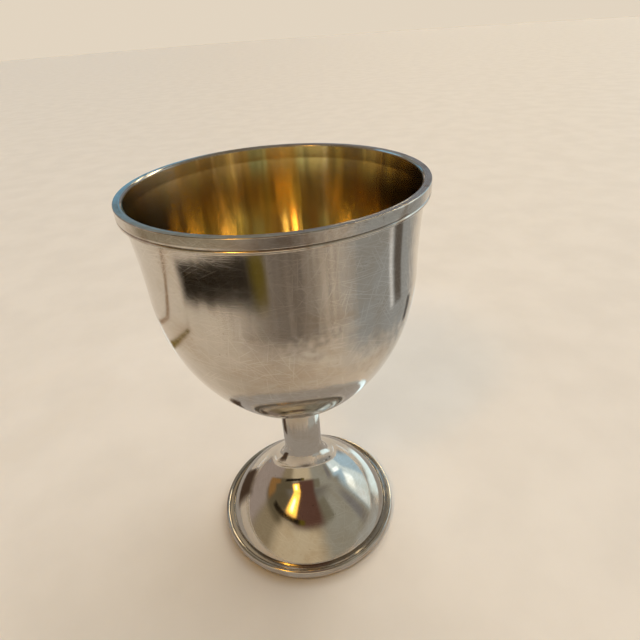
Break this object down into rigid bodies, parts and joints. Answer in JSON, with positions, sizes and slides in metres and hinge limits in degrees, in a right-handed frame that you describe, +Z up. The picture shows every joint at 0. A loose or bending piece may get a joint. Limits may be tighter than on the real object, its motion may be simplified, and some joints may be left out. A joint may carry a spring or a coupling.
{
  "type": "communion chalice",
  "caption": "Plain goblet chalice: egg-shaped gilt-lined bowl with a wired lip, slim trumpet stem and domed foot; the cup unscrews from the stem.",
  "frame": {"origin": "centre of the circle that the foot stands on", "axes": "+Z up along the axis of the stem and bowl; X and Y are free, because the outside is round"},
  "size_m": [0.08, 0.08, 0.1279],
  "materials": {
    "silver_bowl": "polished",
    "silver_rim": "polished",
    "silver_foot": "polished",
    "silver_foot_wire": "polished",
    "silver_fitting": "satin",
    "gilt": "polished"
  },
  "bodies": {
    "foot": {"trumpet_foot": "silver_foot", "foot_bead": "silver_foot_wire", "foot_band": "silver_foot_wire", "stem_bush": "silver_fitting"},
    "washer": {"seat_washer": "silver_fitting"},
    "cup": {"bowl": "silver_bowl", "gilt_lining": "gilt", "rim_band": "silver_rim", "rim_bead": "silver_rim", "cup_boss": "silver_fitting", "cup_stud": "silver_fitting"}
  },
  "joints": [
    {"name": "cup_turn", "type": "hinge", "parent": "foot", "child": "washer", "pos_m": [0, 0, 0.0532], "axis": [0, 0, 1], "range_deg": [0, 2160]},
    {"name": "cup_lift", "type": "slide", "parent": "washer", "child": "cup", "axis": [0, 0, 1], "range_m": [0, 0.00751]}
  ],
  "couplings": [
    {"joint": "cup_lift", "follows": "cup_turn", "m_per_rad": 0.00019894}
  ]
}
